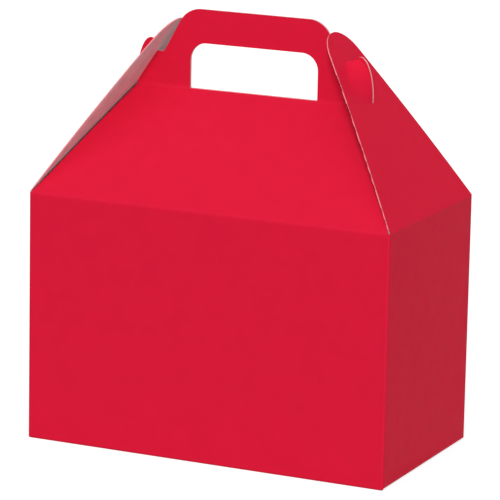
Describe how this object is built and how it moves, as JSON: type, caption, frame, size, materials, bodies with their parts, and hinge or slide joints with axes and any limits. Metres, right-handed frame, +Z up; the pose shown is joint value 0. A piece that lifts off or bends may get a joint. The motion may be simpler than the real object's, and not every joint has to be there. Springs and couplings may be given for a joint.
{
  "type": "gable box",
  "caption": "Folding paperboard gable box with a carry handle cut into its ridge and two end flaps that hook over the handle's ears.",
  "frame": {"origin": "centre of the base, on the surface that the box stands on", "axes": "+X along the length and the handle, -Y is the front, +Z up"},
  "size_m": [0.216, 0.117, 0.2408],
  "materials": {
    "printed_board": "semi-gloss red print on the outside, bare pinkish grey inside, pale raw edges"
  },
  "bodies": {
    "carton": {"carton": "printed_board"},
    "left_flap": {"end_flap_left": "printed_board"},
    "right_flap": {"end_flap_right": "printed_board"}
  },
  "joints": [
    {"name": "left_flap_fold", "type": "hinge", "parent": "carton", "child": "left_flap", "pos_m": [-0.108, 0, 0.1406], "axis": [0, -1, 0], "range_deg": [0, 180]},
    {"name": "right_flap_fold", "type": "hinge", "parent": "carton", "child": "right_flap", "pos_m": [0.108, 0, 0.1406], "axis": [0, 1, 0], "range_deg": [0, 180]}
  ]
}
